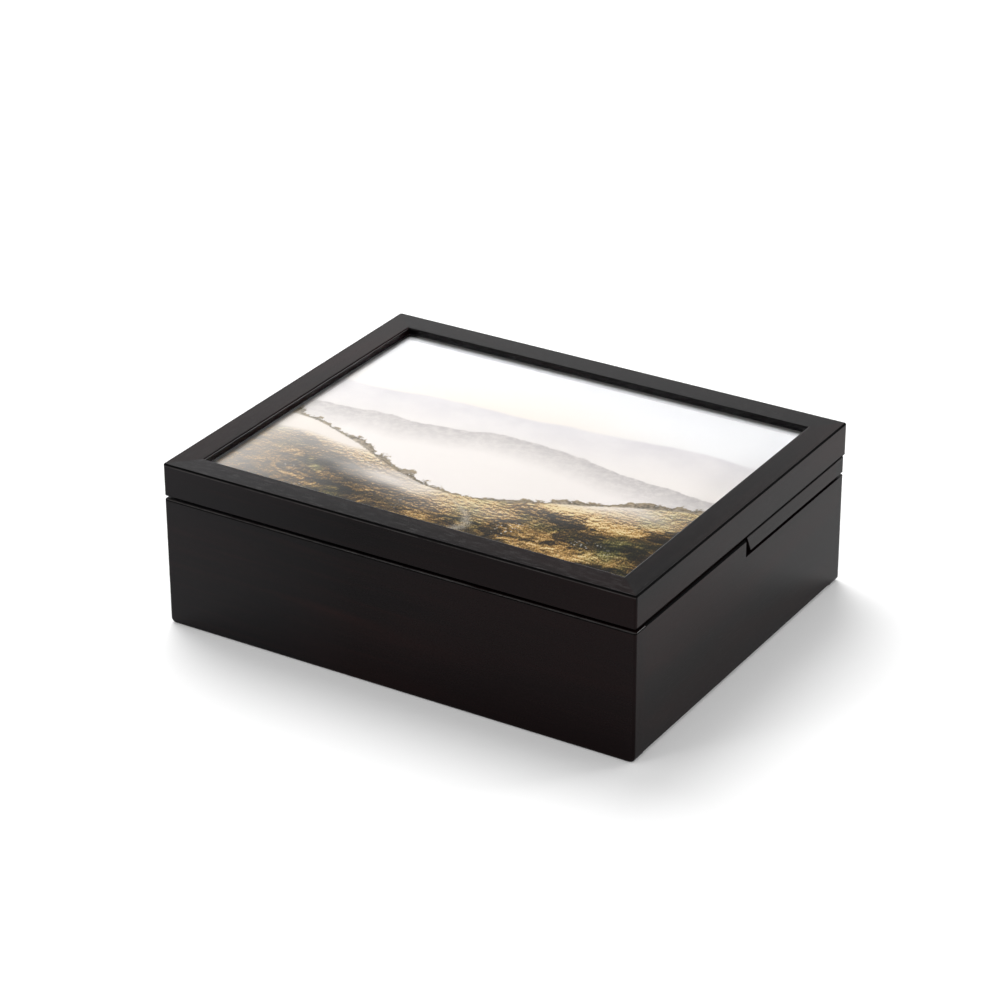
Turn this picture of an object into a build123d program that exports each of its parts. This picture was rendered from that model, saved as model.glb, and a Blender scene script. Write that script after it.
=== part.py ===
from build123d import *
import math
import os

# Musical jewelry box with a glazed picture lid, hinged along its long back side.
# Millimetres, +Z up, origin on the table under the middle of the lid's outline.
# +X runs along the front, -Y is the front, +Y is the hinge side.

# Outside of the box
WIDTH = 235.0
DEPTH = 189.3
HEIGHT = 78.1
LID_BOTTOM = 62.75
BASE_TOP = 61.4
REAR_TOP = 53.1
BASE_BACK_INSET = 1.5
WALL = 8.0
SIDE_LIFT = 1.8
CORNER_R = 1.2
EDGE_R = 0.8
LID_LOWER_R = 0.4
BASE_UPPER_R = 0.9
FOOT_R = 2.6
LOWER_EDGE_R = 0.5
HALF_W = WIDTH / 2
HALF_D = DEPTH / 2
BACK_FACE = HALF_D - BASE_BACK_INSET
IN_X = HALF_W - WALL
IN_FRONT = -HALF_D + WALL
IN_BACK = BACK_FACE - WALL

# Stepped seam: the lid's lower rail fills a notch in the rear half of the base
NOTCH_Y = 0.5
STRIP_TOP_Y = 0.9
STRIP_END_Y = 4.8
STRIP_BOTTOM = 54.8
GROOVE_H = 0.5
GROOVE_IN = 1.5
STRIP_EDGE_R = 0.3

# Cushioning pads under the lid's front corners
BUMPER_Y = -HALF_D + 4.1
BUMPER_R = 1.2

# Lid frame: visible rail, lip over the glass, glass pocket, step for the turn buttons
RAIL = 13.0
LIP = 3.2
POCKET_WALL = 10.5
POCKET_DEPTH = 5.0
SKIRT_WALL = 5.5
LIP_BOTTOM = HEIGHT - LIP
POCKET_BOTTOM = LIP_BOTTOM - POCKET_DEPTH
GLASS_T = 2.0
PRINT_T = 0.3
BOARD_T = 2.0
PAD_T = 0.7
POCKET_GAP = 0.25

# Turn buttons that hold the backing board
BUTTON_X = 72.0
BUTTON_Y = HALF_D - 8.0
BUTTON_R = 2.2
BUTTON_LEN = 12.5
BUTTON_T = 1.4
BUTTON_GAP = 0.1
BUTTON_SCREW_R = 1.0
BUTTON_HEAD_R = 1.9

# Butt hinges lying in the seam's rear gap
HINGE_X = 62.0
HINGE_LEN = 30.0
HINGE_Y = HALF_D - 2.0
HINGE_Z = 53.95
KNUCKLE_R = 2.0
KNUCKLES = 5
KNUCKLE_GAP = 0.2
PIN_R = 0.9
PIN_FIT = 0.05
LEAF_T = 0.8
LEAF_W = 7.0
HINGE_SCREW_R = 0.9
HINGE_SCREW_LEN = 6.0

# Bottom panel and the lining
PANEL_Z = 12.0
PANEL_T = 3.5
GROOVE = 3.0
FLOOR_Z = PANEL_Z + PANEL_T
LINING_T = 1.2
FELT_T = 1.0
LINING_TOP = 51.5
FELT_Z = FLOOR_Z + FELT_T
ROOM_X = IN_X - LINING_T
ROOM_FRONT = IN_FRONT + LINING_T
ROOM_BACK = IN_BACK - LINING_T

# Compartments
DIVIDER_T = 3.0
DIVIDER_TOP = 46.0
REAR_Y = 30.0
MID_X = -12.0
RING_Y = -27.5
REAR_X = 38.0
BAY_X = -42.0
BAY_WALL = 4.0
COVER_T = 2.0
COVER_GAP = 0.5
LEDGE_W = 5.0

# Ring rolls
ROLLS = 4
ROLL_GAP = 0.4
ROLL_TOP = 42.0
ROLL_CLEAR = 0.5

# Musical movement: places of its axes and size of its parts
BARREL_X = -90.0
AXIS_Y = 62.0
BARREL_R = 10.5
BARREL_WALL = 0.6
BARREL_FLOOR = 0.8
BARREL_LID = 1.2
BARREL_Z = 19.6
BARREL_TOP = 31.0
SPRING_HALF_TURNS = 12
SPRING_T = 0.35
SPRING_CLEAR = 0.2
FACE_TEETH = 25
PINION_TEETH = 12
CROWN_MODULE = 0.7
CROWN_R = FACE_TEETH * CROWN_MODULE / 2
CROWN_TOOTH_LEN = 2.5
CROWN_TOOTH_H = 1.65
CROWN_PITCH_H = 0.95
CROWN_FACE = 1.6
CROWN_SLACK = 0.24
PINION_R = PINION_TEETH * CROWN_MODULE / 2
AXIS_Z = BARREL_TOP + CROWN_PITCH_H + PINION_R
ADDENDUM = 0.9
DEDENDUM = 1.15
TRAIN_MODULE = 0.5
TRAIN_SLACK = 0.12
WHEEL_TEETH = 24
GOVERNOR_TEETH = 8
WORM_WHEEL_TEETH = 20
WORM_WHEEL_SLACK = 0.2
CYLINDER_X0 = -76.0
CYLINDER_X1 = -56.0
CYLINDER_R = 6.4
CYLINDER_WALL = 0.5
CYLINDER_END = 0.8
TRACKS = 18
TRACK_MARGIN = 0.4
TRACK_PITCH = (CYLINDER_X1 - CYLINDER_X0 - 2 * TRACK_MARGIN) / TRACKS
PINS_PER_TRACK = 6
PIN_OUT = 0.45
PIN_WIDE = 0.3
GOLDEN_ANGLE = 137.5
SHAFT_R = 1.0
SHAFT_X0 = -83.4
SHAFT_X1 = -50.9
SHAFT_FIT = 0.05
POSTS = ((-78.9, -77.3), (-54.6, -53.0))
POST_R = 3.0
WHEEL_X0 = -52.8
WHEEL_X1 = -51.2

# Bedplate, comb and their screws
BED_X0 = -103.0
BED_X1 = -46.5
BED_Y0 = 36.0
BED_Y1 = 80.0
BED_T = 3.0
BED_CORNER_R = 3.0
BED_TOP = FLOOR_Z + BED_T
BED_SCREW_R = 1.4
BED_SCREW_HEAD_R = 2.8
COMB_Z = AXIS_Z - 0.5
COMB_BED_Y0 = BED_Y0 + 0.5
COMB_BED_Y1 = BED_Y0 + 7.0
HEEL_Y0 = BED_Y0 + 0.8
HEEL_Y1 = BED_Y0 + 7.0
HEEL_T = 1.2
TOOTH_T = 0.6
TOOTH_SLIT = 0.26
TOOTH_ROOT_RISE = 4.5
TIP_CLEAR = 0.15
COMB_TIP_Y = AXIS_Y - CYLINDER_R - PIN_OUT - TIP_CLEAR
LEADS = 6
LEAD_HALF = 0.38
COMB_SCREW_INSET = 4.5
COMB_SCREW_Y = BED_Y0 + 3.6
COMB_SCREW_R = 1.1
COMB_SCREW_DEEP = 5.0
GUIDE_HALF = 2.0
GUIDE_H = 8.0

# Governor: wheel, worm and fly
TRAIN_ANGLE = 40.0
TRAIN_DIST = (WHEEL_TEETH + GOVERNOR_TEETH) * TRAIN_MODULE / 2
GOVERNOR_Y = AXIS_Y + TRAIN_DIST * math.cos(math.radians(TRAIN_ANGLE))
GOVERNOR_Z = AXIS_Z - TRAIN_DIST * math.sin(math.radians(TRAIN_ANGLE))
STAFF_R = 0.6
GOVERNOR_PINION_X0 = -53.0
GOVERNOR_PINION_X1 = -51.3
WORM_WHEEL_R = WORM_WHEEL_TEETH * TRAIN_MODULE / 2
WORM_WHEEL_FACE = 1.2
WORM_R = 0.8
WORM_TIP_R = 1.55
WORM_GAP = 0.15
WORM_LEAD = math.pi * TRAIN_MODULE
WORM_TURNS = 2.75
WORM_HALF = 2.7
THREAD_FOOT = 0.36
THREAD_TIP = 0.2
THREAD_ROOT = 0.15
WORM_X = -50.3
WORM_Y = GOVERNOR_Y + WORM_WHEEL_R + ADDENDUM * TRAIN_MODULE + WORM_R + WORM_GAP
FLY_R = 4.2
FLY_T = 0.7
FLY_HUB_R = 1.3
FLY_HUB_DEEP = 2.0
FLY_Z0 = 36.0
FLY_Z1 = 40.0
FRAME_X0 = WORM_X - 2.5
FRAME_X1 = WORM_X + 2.6
FRAME_Y1 = BED_Y1 - 1.2
FRAME_FOOT = 3.0
FRAME_BACK_Y = WORM_Y + 2.2
ARM_T = 1.2
ARM_TOP = FLY_Z0 - 0.4
CHEEK_X0 = WORM_X + 1.4
CHEEK_HALF = 1.8

# Winding arbor and key
ARBOR_R = 1.6
ARBOR_GAP = 0.1
COLLAR_R = 3.0
COLLAR_T = 1.1
SHOULDER_R = 3.6
SPRING_CORE_R = ARBOR_R + 1.4
KEY_SPAN = 22.0
KEY_Z0 = 2.0
KEY_HEIGHT = 7.5
KEY_WAIST = 5.4
KEY_T = 1.8
KEY_HUB_R = 3.2
KEY_HUB_Z0 = KEY_Z0 + 3.0
KEY_HUB_Z1 = PANEL_Z + 0.5
KEY_BORE_Z = KEY_Z0 + 4.0
KEY_TURN = 30.0
KEY_HOLE_R = 4.2

# Start wire that the closed lid holds down
WIRE_R = 0.7
WIRE_TIP_R = 1.0
WIRE_LID_GAP = 0.2
FINGER_R = 0.5
FINGER_LEN = 3.6
FINGER_Z = FLY_Z1 - 0.8
WIRE_X = -56.5
WIRE_Y = 79.0
WIRE_HOLE_R = 2.0

parts = {}


def block(x0, x1, y0, y1, z0, z1):
    """A box between two corners."""
    size = Box(x1 - x0, y1 - y0, z1 - z0)
    return Pos((x0 + x1) / 2, (y0 + y1) / 2, (z0 + z1) / 2) * size


def rod(x, y, z0, z1, radius):
    """A vertical round bar."""
    return Pos(x, y, (z0 + z1) / 2) * Cylinder(radius, z1 - z0)


def rod_x(x0, x1, y, z, radius):
    """A round bar along X."""
    return Pos((x0 + x1) / 2, y, z) * Rot(0, 90, 0) * Cylinder(radius, x1 - x0)


def prism(points, z0, z1):
    """An upright prism on a polygon."""
    outline = make_face(Polyline(*points, close=True))
    return extrude(Pos(0, 0, z0) * outline, z1 - z0)


def edges_at(shape, axis, value):
    """Edges that lie wholly in one plane."""
    return shape.edges().filter_by_position(axis, value - 0.01, value + 0.01)


def wood_screw(x, y, z_head, length, radius, head_r, head_h, up):
    """A screw with a domed, slotted head; up is the way that the shank goes."""
    shank = Pos(0, 0, length / 2) * Cylinder(radius, length)
    head = Pos(0, 0, -head_h / 2) * Cylinder(head_r, head_h)
    head = fillet(edges_at(head, Axis.Z, -head_h), head_h * 0.45)
    slot = Pos(0, 0, -head_h) * Box(2 * head_r, 0.45, head_h * 0.7)
    screw = shank + head - slot
    if up < 0:
        screw = Rot(180, 0, 0) * screw
    return Pos(x, y, z_head) * screw


def frame_wedge(side):
    """The region of one mitred rail, as an upright prism."""
    far_x = HALF_W + 5
    far_y = HALF_D + 5
    near_x = HALF_W - 20
    near_y = HALF_D - 20
    corners = {
        "front": [(-far_x, -far_y), (far_x, -far_y), (near_x, -near_y), (-near_x, -near_y)],
        "right": [(far_x, -far_y), (far_x, far_y), (near_x, near_y), (near_x, -near_y)],
        "back": [(far_x, far_y), (-far_x, far_y), (-near_x, near_y), (near_x, near_y)],
        "left": [(-far_x, far_y), (-far_x, -far_y), (-near_x, -near_y), (-near_x, near_y)],
    }
    return prism(corners[side], LID_BOTTOM - 1, HEIGHT + 1)


def make_lid_frame():
    """Four mitred rails with a lip, a glass pocket and a step for the turn buttons."""
    body = block(-HALF_W, HALF_W, -HALF_D, HALF_D, LID_BOTTOM, HEIGHT)
    body = fillet(body.edges().filter_by(Axis.Z), CORNER_R)
    body = fillet(edges_at(body, Axis.Z, HEIGHT), EDGE_R)
    body = fillet(edges_at(body, Axis.Z, LID_BOTTOM), LID_LOWER_R)
    window = block(-HALF_W + RAIL, HALF_W - RAIL, -HALF_D + RAIL, HALF_D - RAIL, 0, 2 * HEIGHT)
    pocket_x = HALF_W - POCKET_WALL
    pocket_y = HALF_D - POCKET_WALL
    pocket = block(-pocket_x, pocket_x, -pocket_y, pocket_y, POCKET_BOTTOM, LIP_BOTTOM)
    skirt_x = HALF_W - SKIRT_WALL
    skirt_y = HALF_D - SKIRT_WALL
    skirt = block(-skirt_x, skirt_x, -skirt_y, skirt_y, 0, POCKET_BOTTOM)
    body = body - window
    inner = [e for e in edges_at(body, Axis.Z, HEIGHT)
             if abs(e.center().X) < HALF_W - RAIL + 0.1 and abs(e.center().Y) < HALF_D - RAIL + 0.1]
    body = fillet(inner, EDGE_R)
    body = body - pocket - skirt
    for x, y in button_places():
        body = body - rod(x, y, POCKET_BOTTOM - 1, POCKET_BOTTOM + 5, BUTTON_SCREW_R)
    for side in ("front", "right", "back", "left"):
        parts["lid_" + side + "_rail"] = body & frame_wedge(side)


def button_places():
    """Pivot points of the four turn buttons."""
    return [(sx * BUTTON_X, sy * BUTTON_Y) for sy in (-1, 1) for sx in (-1, 1)]


def make_lid_filling():
    """Glass, picture, backing board and the cloth face towards the inside."""
    half_x = HALF_W - POCKET_WALL - POCKET_GAP
    half_y = HALF_D - POCKET_WALL - POCKET_GAP
    top = LIP_BOTTOM
    layers = [("lid_glass", GLASS_T), ("lid_picture", PRINT_T), ("lid_backing_board", BOARD_T), ("lid_pad", PAD_T)]
    for name, thickness in layers:
        layer = block(-half_x, half_x, -half_y, half_y, top - thickness, top)
        parts[name] = fillet(layer.edges().filter_by(Axis.Z), 0.5)
        top = top - thickness


def make_turn_buttons():
    """Flat brass tabs that swivel off the backing board, each on its own screw."""
    z_top = POCKET_BOTTOM - BUTTON_GAP
    z_bottom = z_top - BUTTON_T
    screws = []
    for number, (x, y) in enumerate(button_places(), start=1):
        inward = -1 if y > 0 else 1
        tip = y + inward * BUTTON_LEN
        tab = block(x - BUTTON_R, x + BUTTON_R, min(y, tip), max(y, tip), z_bottom, z_top)
        tab = tab + rod(x, y, z_bottom, z_top, BUTTON_R) + rod(x, tip, z_bottom, z_top, BUTTON_R)
        tab = tab - rod(x, y, z_bottom - 1, z_top + 1, BUTTON_SCREW_R + SHAFT_FIT)
        parts["turn_button_" + str(number)] = tab
        head_z = z_bottom - BUTTON_GAP
        screws.append(wood_screw(x, y, head_z, POCKET_BOTTOM + 5 - head_z, BUTTON_SCREW_R, BUTTON_HEAD_R, 1.0, 1))
    parts["turn_button_screws"] = Compound(screws)


def hinge_mortise(x):
    """Room for one hinge barrel."""
    return rod_x(x - HINGE_LEN / 2 - 0.3, x + HINGE_LEN / 2 + 0.3, HINGE_Y, HINGE_Z, KNUCKLE_R + 0.2)


def hinge_screw_places(x):
    """Two screws in each leaf."""
    return [(x + s * HINGE_LEN * 0.3, BACK_FACE - 4.6) for s in (-1, 1)]


def grooved(strip):
    """A strip with the shadow line along its outer top edge, and a soft edge below that."""
    low = LID_BOTTOM - GROOVE_H
    core = block(-HALF_W + GROOVE_IN, HALF_W - GROOVE_IN, -DEPTH, BACK_FACE - GROOVE_IN, low - 1, HEIGHT)
    strip = (strip & block(-WIDTH, WIDTH, -DEPTH, DEPTH, 0, low)) + (strip & core)
    outer = [e for e in edges_at(strip, Axis.Z, low)
             if abs(e.center().X) > HALF_W - GROOVE_IN / 2 or e.center().Y > BACK_FACE - GROOVE_IN / 2]
    return fillet(outer, STRIP_EDGE_R)


def make_strips():
    """The lid's lower rail: a back piece and two side pieces with slanted front ends."""
    side_top = LID_BOTTOM
    outline = [(STRIP_TOP_Y, side_top), (BACK_FACE - WALL, side_top), (BACK_FACE - WALL, STRIP_BOTTOM),
               (STRIP_END_Y, STRIP_BOTTOM)]
    face = make_face(Plane.YZ * Polyline(*outline, close=True))
    bar = extrude(face, WALL, dir=(1, 0, 0))
    right = Pos(HALF_W - WALL, 0, 0) * bar
    right = grooved(right)
    parts["strip_right"] = right
    parts["strip_left"] = mirror(right, Plane.YZ)
    back = block(-HALF_W, HALF_W, BACK_FACE - WALL, BACK_FACE, STRIP_BOTTOM, side_top)
    corner = [e for e in back.edges().filter_by(Axis.Z) if e.center().Y > BACK_FACE - 0.01]
    back = grooved(fillet(corner, CORNER_R))
    for x in (-HINGE_X, HINGE_X):
        back = back - hinge_mortise(x)
        for sx, sy in hinge_screw_places(x):
            back = back - rod(sx, sy, STRIP_BOTTOM, STRIP_BOTTOM + HINGE_SCREW_LEN, HINGE_SCREW_R)
    parts["strip_back"] = back


def leaf(x, z0, z1, odd):
    """One hinge leaf with every other knuckle."""
    plate = block(x - HINGE_LEN / 2, x + HINGE_LEN / 2, BACK_FACE - LEAF_W, HINGE_Y, z0, z1)
    step = HINGE_LEN / KNUCKLES
    rolls = []
    for k in range(KNUCKLES):
        left = x - HINGE_LEN / 2 + k * step
        if (k % 2 == 1) == odd:
            rolls.append(rod_x(left + KNUCKLE_GAP / 2, left + step - KNUCKLE_GAP / 2, HINGE_Y, HINGE_Z, KNUCKLE_R))
        else:
            plate = plate - rod_x(left - KNUCKLE_GAP / 2, left + step + KNUCKLE_GAP / 2,
                                  HINGE_Y, HINGE_Z, KNUCKLE_R + 0.15)
    for roll in rolls:
        plate = plate + roll
    bore = PIN_R + PIN_FIT if odd else PIN_R
    plate = plate - rod_x(x - HINGE_LEN, x + HINGE_LEN, HINGE_Y, HINGE_Z, bore)
    for sx, sy in hinge_screw_places(x):
        plate = plate - rod(sx, sy, z0 - 1, z1 + 1, HINGE_SCREW_R)
    return plate


def make_hinges():
    """Two five-knuckle brass butt hinges with their pins and screws."""
    base_z = REAR_TOP + LEAF_T
    lid_z = STRIP_BOTTOM - LEAF_T
    places = (-HINGE_X, HINGE_X)
    parts["hinge_base_leaves"] = Compound([leaf(x, REAR_TOP, base_z, False) for x in places])
    parts["hinge_lid_leaves"] = Compound([leaf(x, lid_z, STRIP_BOTTOM, True) for x in places])
    half = HINGE_LEN / 2
    parts["hinge_pins"] = Compound([rod_x(x - half, x + half, HINGE_Y, HINGE_Z, PIN_R) for x in places])
    down = []
    up = []
    for x in places:
        for sx, sy in hinge_screw_places(x):
            down.append(rod(sx, sy, REAR_TOP - HINGE_SCREW_LEN, base_z, HINGE_SCREW_R))
            up.append(rod(sx, sy, lid_z, STRIP_BOTTOM + HINGE_SCREW_LEN, HINGE_SCREW_R))
    parts["hinge_base_screws"] = Compound(down)
    parts["hinge_lid_screws"] = Compound(up)


def make_base_walls():
    """Front and back walls at full width, side walls between them, notched at the rear."""
    shell = block(-HALF_W, HALF_W, -HALF_D, BACK_FACE, 0, BASE_TOP)
    shell = fillet(shell.edges().filter_by(Axis.Z), CORNER_R)
    shell = fillet(edges_at(shell, Axis.Z, BASE_TOP), BASE_UPPER_R)
    shell = shell - block(-IN_X, IN_X, IN_FRONT, IN_BACK, -1, HEIGHT)
    shell = shell - block(-WIDTH, WIDTH, NOTCH_Y, DEPTH, REAR_TOP, HEIGHT)
    groove_x = IN_X + GROOVE
    shell = shell - block(-groove_x, groove_x, IN_FRONT - GROOVE, IN_BACK + GROOVE, PANEL_Z, FLOOR_Z)
    for x in (-HINGE_X, HINGE_X):
        shell = shell - hinge_mortise(x)
        for sx, sy in hinge_screw_places(x):
            shell = shell - rod(sx, sy, REAR_TOP - HINGE_SCREW_LEN, REAR_TOP, HINGE_SCREW_R)
    feet = block(-HALF_W, HALF_W, -HALF_D, BACK_FACE, 0, HEIGHT)
    lower = edges_at(feet, Axis.Z, 0)
    feet = fillet(lower.filter_by(Axis.Y), FOOT_R)
    shell_feet = shell & feet
    front = shell_feet & block(-WIDTH, WIDTH, -DEPTH, IN_FRONT, -1, HEIGHT)
    back = shell_feet & block(-WIDTH, WIDTH, IN_BACK, DEPTH, -1, HEIGHT)
    long_edges = [e for e in edges_at(front, Axis.Z, 0).filter_by(Axis.X) if e.center().Y < IN_FRONT - 1]
    parts["base_front_wall"] = fillet(long_edges, CORNER_R)
    long_edges = [e for e in edges_at(back, Axis.Z, 0).filter_by(Axis.X) if e.center().Y > IN_BACK + 1]
    parts["base_back_wall"] = fillet(long_edges, CORNER_R)
    for name, x0, x1 in (("base_right_wall", 0, WIDTH), ("base_left_wall", -WIDTH, 0)):
        wall = shell & block(x0, x1, IN_FRONT, IN_BACK, SIDE_LIFT, HEIGHT)
        outer = [e for e in edges_at(wall, Axis.Z, SIDE_LIFT).filter_by(Axis.Y) if abs(e.center().X) > HALF_W - 1]
        parts[name] = fillet(outer, LOWER_EDGE_R)


def movement_screw_places():
    """Three screws that hold the movement to the bottom panel."""
    return [(-98.0, 40.5), (-50.5, 40.5), (-75.0, 76.0)]


def make_bottom():
    """Bottom panel in its groove, with the key hole and the movement's screws."""
    panel_x = IN_X + GROOVE
    panel = block(-panel_x, panel_x, IN_FRONT - GROOVE, IN_BACK + GROOVE, PANEL_Z, FLOOR_Z)
    panel = panel - rod(BARREL_X, AXIS_Y, PANEL_Z - 1, FLOOR_Z + 1, KEY_HOLE_R)
    screws = []
    for x, y in movement_screw_places():
        panel = panel - rod(x, y, PANEL_Z - 1, FLOOR_Z + 1, BED_SCREW_R)
        screws.append(wood_screw(x, y, PANEL_Z, BED_TOP - PANEL_Z, BED_SCREW_R, BED_SCREW_HEAD_R, 1.5, 1))
    parts["bottom_panel"] = panel
    parts["movement_screws"] = Compound(screws)
    parts["lid_bumpers"] = Compound([
        fillet(edges_at(rod(sx * (HALF_W - 12), BUMPER_Y, BASE_TOP, LID_BOTTOM, BUMPER_R), Axis.Z, LID_BOTTOM), 0.4)
        for sx in (-1, 1)])


def make_linings():
    """Cloth-covered liners on the floor and on the four walls."""
    bay_left = BAY_X - BAY_WALL
    floor = block(-ROOM_X, ROOM_X, ROOM_FRONT, REAR_Y, FLOOR_Z, FELT_Z)
    floor = floor + block(bay_left, ROOM_X, REAR_Y, ROOM_BACK, FLOOR_Z, FELT_Z)
    parts["floor_lining"] = floor
    parts["front_lining"] = block(-IN_X, IN_X, IN_FRONT, ROOM_FRONT, FLOOR_Z, LINING_TOP)
    parts["back_lining"] = block(-IN_X, IN_X, ROOM_BACK, IN_BACK, FLOOR_Z, LINING_TOP)
    left = block(-IN_X, -ROOM_X, ROOM_FRONT, ROOM_BACK, FLOOR_Z, LINING_TOP)
    right = block(ROOM_X, IN_X, ROOM_FRONT, ROOM_BACK, FLOOR_Z, LINING_TOP)
    parts["side_linings"] = Compound([left, right])


def divider(x0, x1, y0, y1, z0=FELT_Z):
    """A cloth-covered divider with a softened top edge."""
    board = block(x0, x1, y0, y1, z0, DIVIDER_TOP)
    long_axis = Axis.X if x1 - x0 > y1 - y0 else Axis.Y
    top = edges_at(board, Axis.Z, DIVIDER_TOP).filter_by(long_axis)
    return fillet(top, 0.9)


def make_dividers():
    """Boards that part the room into compartments and the movement's bay."""
    parts["rear_divider"] = divider(BAY_X, ROOM_X, REAR_Y, REAR_Y + DIVIDER_T)
    parts["bay_front_wall"] = divider(-ROOM_X, BAY_X, REAR_Y, REAR_Y + DIVIDER_T)
    parts["bay_side_wall"] = divider(BAY_X - BAY_WALL, BAY_X, REAR_Y + DIVIDER_T, ROOM_BACK)
    parts["middle_divider"] = divider(MID_X, MID_X + DIVIDER_T, ROOM_FRONT, REAR_Y)
    parts["ring_divider"] = divider(-ROOM_X, MID_X, RING_Y, RING_Y + DIVIDER_T)
    parts["right_divider"] = divider(MID_X + DIVIDER_T, ROOM_X, RING_Y, RING_Y + DIVIDER_T)
    parts["back_right_divider"] = divider(REAR_X, REAR_X + DIVIDER_T, REAR_Y + DIVIDER_T, ROOM_BACK)


def cover_screw_places():
    """Two screws along the bay's side wall."""
    return [(BAY_X - BAY_WALL / 2, y) for y in (44.0, 74.0)]


def make_bay_cover():
    """Clear cover over the movement, on two ledges and the bay's walls."""
    x0 = -ROOM_X + COVER_GAP
    y1 = ROOM_BACK - COVER_GAP
    y0 = REAR_Y + COVER_GAP
    cover = block(x0, BAY_X - COVER_GAP, y0, y1, DIVIDER_TOP, DIVIDER_TOP + COVER_T)
    cover = fillet(cover.edges().filter_by(Axis.Z), 1.5)
    cover = cover - rod(WIRE_X, WIRE_Y, DIVIDER_TOP - 1, DIVIDER_TOP + COVER_T + 1, WIRE_HOLE_R)
    screws = []
    wall = parts["bay_side_wall"]
    for x, y in cover_screw_places():
        cover = cover - rod(x, y, DIVIDER_TOP - 1, DIVIDER_TOP + COVER_T + 1, 0.9)
        wall = wall - rod(x, y, DIVIDER_TOP - 8, DIVIDER_TOP + 1, 0.9)
        screws.append(wood_screw(x, y, DIVIDER_TOP + COVER_T, COVER_T + 8, 0.9, 1.7, 1.0, -1))
    parts["bay_side_wall"] = wall
    parts["bay_cover"] = cover
    parts["bay_cover_screws"] = Compound(screws)
    ledge_z = DIVIDER_TOP - LEDGE_W
    left = block(-ROOM_X, -ROOM_X + LEDGE_W - 1, REAR_Y + DIVIDER_T, ROOM_BACK, ledge_z, DIVIDER_TOP)
    back = block(-ROOM_X + LEDGE_W - 1, BAY_X - BAY_WALL, ROOM_BACK - 2.5, ROOM_BACK, ledge_z, DIVIDER_TOP)
    parts["bay_ledges"] = Compound([left, back])


def roll_section(x, half, height):
    """One cross-section of a ring roll: flat foot, straight flanks and a crown."""
    crown = half * 0.9
    foot = Polyline((-half, height - crown), (-half, 0), (half, 0), (half, height - crown))
    top = ThreePointArc((half, height - crown), (0, height), (-half, height - crown))
    face = make_face([foot, top])
    return Plane(origin=(x, 0, 0), x_dir=(0, 1, 0), z_dir=(1, 0, 0)) * face


def make_ring_rolls():
    """Padded rolls side by side; rings sit in the slits between them."""
    x0 = -ROOM_X + ROLL_CLEAR
    x1 = MID_X - ROLL_CLEAR
    y0 = ROOM_FRONT + ROLL_CLEAR
    y1 = RING_Y - ROLL_CLEAR
    pitch = (y1 - y0) / ROLLS
    half = (pitch - ROLL_GAP) / 2
    height = ROLL_TOP - FELT_Z
    drawn_in = [(0.0, 0.80, 0.90), (0.012, 0.88, 0.95), (0.035, 0.95, 0.985), (0.09, 0.99, 1.0)]
    stations = drawn_in + [(1 - t, h, w) for t, h, w in reversed(drawn_in)]
    for number in range(ROLLS):
        sections = [roll_section(x0 + t * (x1 - x0), half * w, height * h) for t, h, w in stations]
        roll = loft(sections, ruled=True)
        parts["ring_roll_" + str(number + 1)] = Pos(0, y0 + pitch * (number + 0.5), FELT_Z) * roll


def gear_outline(teeth, module, slack):
    """A spur gear's outline with straight-sided teeth, in the XY plane, one tooth along +X."""
    pitch_r = teeth * module / 2
    tip_r = pitch_r + module * ADDENDUM
    root_r = pitch_r - module * DEDENDUM
    step = 2 * math.pi / teeth
    pitch_half = step / 4 - slack / pitch_r / 2
    root_half = pitch_half * 1.5
    tip_half = pitch_half * 0.45
    points = []
    for k in range(teeth):
        mid = k * step
        corners = ((root_r, -root_half), (tip_r, -tip_half), (tip_r, tip_half), (root_r, root_half))
        points += [(r * math.cos(mid + turn), r * math.sin(mid + turn)) for r, turn in corners]
    return points


def spur_gear_x(x0, x1, y, z, teeth, module, slack, turn=0.0):
    """A spur gear with its axis along X."""
    face = make_face(Polyline(*gear_outline(teeth, module, slack), close=True))
    gear = extrude(face, x1 - x0)
    return Pos(x0, y, z) * Rot(0, 90, 0) * Rot(0, 0, turn) * gear


def make_barrel():
    """Spring barrel with crown teeth standing on its top."""
    drum = rod(BARREL_X, AXIS_Y, BARREL_Z, BARREL_TOP, BARREL_R)
    drum = drum - rod(BARREL_X, AXIS_Y, BARREL_Z + BARREL_FLOOR, BARREL_TOP - BARREL_LID, BARREL_R - BARREL_WALL)
    drum = drum - rod(BARREL_X, AXIS_Y, 0, HEIGHT, ARBOR_R + SHAFT_FIT)
    pitch = math.pi * CROWN_MODULE
    foot = pitch * 0.34
    tip = pitch * 0.14
    flank = [(-foot, 0), (foot, 0), (tip, CROWN_TOOTH_H), (-tip, CROWN_TOOTH_H)]
    face = make_face(Plane.YZ * Polyline(*flank, close=True))
    tooth = extrude(face, CROWN_TOOTH_LEN, dir=(1, 0, 0))
    tooth = Pos(CROWN_R - CROWN_TOOTH_LEN / 2, 0, BARREL_TOP) * tooth
    for k in range(FACE_TEETH):
        drum = drum + Pos(BARREL_X, AXIS_Y, 0) * Rot(0, 0, 360 / FACE_TEETH * k) * tooth
    parts["spring_barrel"] = drum


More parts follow.
